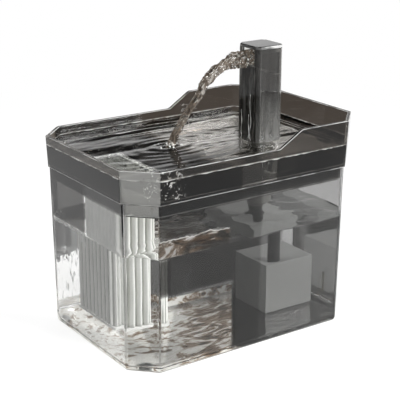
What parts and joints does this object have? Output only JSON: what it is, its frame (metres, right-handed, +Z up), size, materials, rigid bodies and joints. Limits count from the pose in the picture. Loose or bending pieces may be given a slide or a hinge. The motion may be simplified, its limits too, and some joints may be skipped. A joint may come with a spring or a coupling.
{
  "type": "pet water fountain",
  "caption": "Free-standing pet water fountain: clear bevelled tank, lift-off stepped drinking tray, square spout tower, hanging pleated filter and a cased submersible pump.",
  "frame": {"origin": "on the table under the middle of the tank, level with the undersides of the feet", "axes": "+Z up, +X along the tank towards the spout tower, +Y across it towards the sponge side"},
  "size_m": [0.1942, 0.1386, 0.2005],
  "materials": {
    "smoky_plastic": "clear, tinted grey, polished",
    "silicone": "translucent grey, matt",
    "white_plastic": "moulded, satin",
    "fleece": "pleated non-woven fleece",
    "carbon": "granules in a black mesh",
    "grey_plastic": "moulded, smooth satin",
    "dark_plastic": "moulded, fine texture",
    "black_rubber": "smooth, matt",
    "steel": "stacked laminations",
    "copper": "enamelled winding",
    "board": "solder-resist green",
    "ceramic": "polished ceramic",
    "magnet": "sintered ferrite, matt",
    "sponge": "open-cell foam"
  },
  "bodies": {
    "tank": {"tank": "smoky_plastic", "foot_front_left": "silicone", "foot_front_right": "silicone", "foot_rear_left": "silicone", "foot_rear_right": "silicone", "pump_housing": "dark_plastic", "pump_cover": "dark_plastic", "pump_back_plate": "dark_plastic", "cover_seal": "black_rubber", "stator_core": "steel", "coil_winding": "copper", "drive_board": "board", "cable_gland": "black_rubber", "pump_shaft": "ceramic", "shaft_bush_front": "black_rubber", "shaft_bush_rear": "black_rubber", "suction_cup_1": "black_rubber", "suction_cup_2": "black_rubber", "suction_cup_3": "black_rubber", "suction_cup_4": "black_rubber", "outlet_hose": "black_rubber", "intake_sponge": "sponge"},
    "tray": {"tray": "smoky_plastic"},
    "tower": {"tower_column": "smoky_plastic", "tower_seal": "silicone", "spout_ramp": "smoky_plastic", "riser_pipe": "smoky_plastic"},
    "tower_cap": {"tower_cap": "smoky_plastic"},
    "filter": {"filter_frame": "smoky_plastic", "filter_end_cap": "white_plastic", "pleated_media": "fleece", "carbon_core": "carbon"},
    "pump_case": {"pump_case": "grey_plastic"},
    "impeller": {"impeller": "white_plastic", "rotor_magnet": "magnet"}
  },
  "joints": [
    {"name": "tray_lift", "type": "slide", "parent": "tank", "child": "tray", "axis": [0, 0, 1], "range_m": [0, 0.125]},
    {"name": "tower_lift", "type": "slide", "parent": "tray", "child": "tower", "axis": [0, 0, 1], "range_m": [0, 0.05]},
    {"name": "cap_pull", "type": "slide", "parent": "tower", "child": "tower_cap", "axis": [0, 0, 1], "range_m": [0, 0.02]},
    {"name": "filter_pull", "type": "slide", "parent": "tray", "child": "filter", "axis": [0, 0, 1], "range_m": [0, 0.1]},
    {"name": "case_lift", "type": "slide", "parent": "tank", "child": "pump_case", "axis": [0, 0, 1], "range_m": [0, 0.0325]},
    {"name": "impeller_spin", "type": "hinge", "parent": "tank", "child": "impeller", "pos_m": [0.058, 0, 0.022], "axis": [0, 1, 0], "continuous": true}
  ]
}
